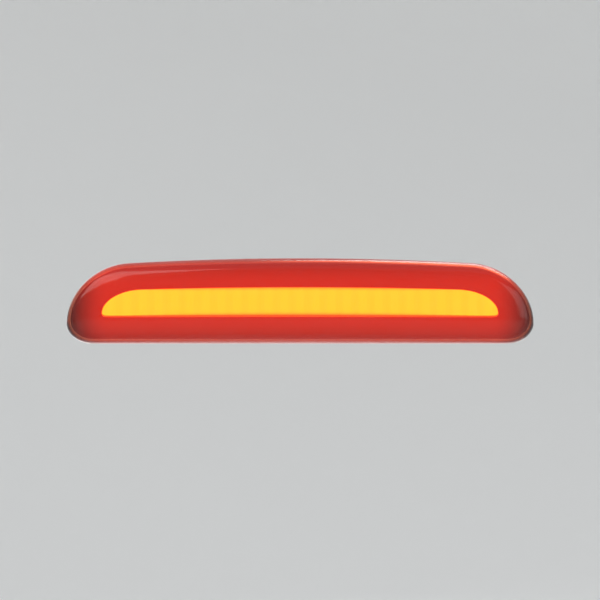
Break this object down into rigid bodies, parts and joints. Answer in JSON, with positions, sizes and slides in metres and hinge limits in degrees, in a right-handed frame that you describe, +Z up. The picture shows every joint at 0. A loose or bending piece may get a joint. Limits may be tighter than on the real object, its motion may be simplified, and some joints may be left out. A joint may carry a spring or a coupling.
{
  "type": "third brake light",
  "caption": "Wide, low third brake light for a tailgate: a glowing bar in a red lens on a black tub, with a rubber gasket, a plug socket and two studs with nuts.",
  "frame": {"origin": "centre of the plane on which the rubber gasket seats on the tailgate skin, midway between the studs and at half the lens's height", "axes": "+X to the right of someone facing the lens, +Y into the vehicle along the studs, +Z up; the light shines along -Y"},
  "size_m": [0.28, 0.062, 0.051],
  "materials": {
    "red_lens": "polished",
    "seal_black": "matte",
    "bezel_red": "satin",
    "glowing_diffuser": "satin",
    "tray_white": "satin",
    "screw_steel": "satin",
    "board_green": "satin",
    "led_body": "satin",
    "led_phosphor": "gloss",
    "chip_black": "satin",
    "regulator_black": "satin",
    "capacitor_can": "satin",
    "diode_black": "satin",
    "suppressor_black": "satin",
    "positive_brass": "satin",
    "negative_brass": "satin",
    "solder_tin": "gloss",
    "housing_black": "matte",
    "membrane_white": "matte",
    "cap_black": "matte",
    "gasket_rubber": "matte",
    "stud_steel": "satin",
    "left_washer_steel": "satin",
    "right_washer_steel": "satin",
    "left_nut_steel": "satin",
    "right_nut_steel": "satin"
  },
  "bodies": {
    "lamp": {"outer_lens": "red_lens", "lens_seal": "seal_black", "bezel": "bezel_red", "light_bar": "glowing_diffuser", "reflector_tray": "tray_white", "tray_screws": "screw_steel", "led_board": "board_green", "led_packages": "led_body", "led_domes": "led_phosphor", "series_resistors": "chip_black", "current_regulator": "regulator_black", "input_capacitor": "capacitor_can", "reverse_diode": "diode_black", "surge_suppressor": "suppressor_black", "positive_terminal": "positive_brass", "negative_terminal": "negative_brass", "solder_joints": "solder_tin", "housing": "housing_black", "vent_membrane": "membrane_white", "vent_cap": "cap_black", "body_gasket": "gasket_rubber", "studs": "stud_steel"},
    "left_washer": {"left_washer": "left_washer_steel"},
    "left_nut": {"left_nut": "left_nut_steel"},
    "right_washer": {"right_washer": "right_washer_steel"},
    "right_nut": {"right_nut": "right_nut_steel"}
  },
  "joints": [
    {"name": "left_washer_travel", "type": "slide", "parent": "lamp", "child": "left_washer", "axis": [0, 1, 0], "range_m": [0, 0.012]},
    {"name": "left_nut_turn", "type": "hinge", "parent": "left_washer", "child": "left_nut", "pos_m": [-0.092, 0.0265, 0], "axis": [0, 1, 0], "range_deg": [0, 4320]},
    {"name": "right_washer_travel", "type": "slide", "parent": "lamp", "child": "right_washer", "axis": [0, 1, 0], "range_m": [0, 0.012]},
    {"name": "right_nut_turn", "type": "hinge", "parent": "right_washer", "child": "right_nut", "pos_m": [0.092, 0.0265, 0], "axis": [0, 1, 0], "range_deg": [0, 4320]}
  ],
  "couplings": [
    {"joint": "left_nut_turn", "follows": "left_washer_travel", "rad_per_m": 6283.2},
    {"joint": "right_nut_turn", "follows": "right_washer_travel", "rad_per_m": 6283.2}
  ]
}
